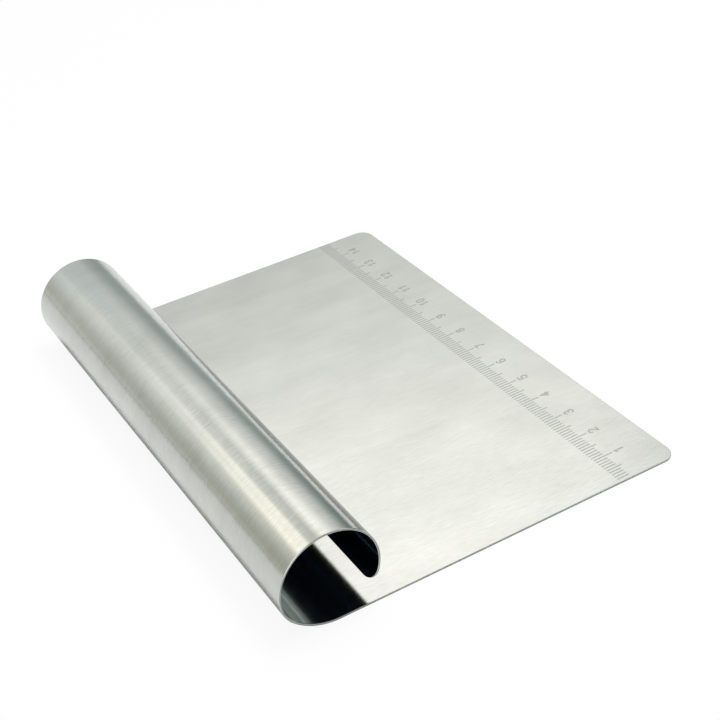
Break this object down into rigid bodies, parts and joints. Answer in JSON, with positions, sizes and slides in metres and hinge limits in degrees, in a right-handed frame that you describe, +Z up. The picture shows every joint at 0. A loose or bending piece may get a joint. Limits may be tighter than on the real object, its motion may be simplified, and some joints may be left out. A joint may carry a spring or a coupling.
{
  "type": "dough scraper",
  "caption": "Flat brushed steel blade with rounded corners and an etched centimetre scale, its far side rolled into an open tube as the handle, for cutting and lifting dough.",
  "frame": {"origin": "under the middle of the whole footprint, on the surface that the blade lies on", "axes": "+X from the handle to the scraping edge, +Y along the roll towards the scale's high end, +Z up from the blade's underside"},
  "size_m": [0.1068, 0.15, 0.0241],
  "materials": {
    "sheet_steel": "stainless steel sheet, brushed across the blade and round the roll",
    "scale_etch": "darkened marks etched into the brushed sheet"
  },
  "bodies": {
    "root": {"blade": "sheet_steel", "rolled_handle": "sheet_steel"}
  },
  "joints": []
}
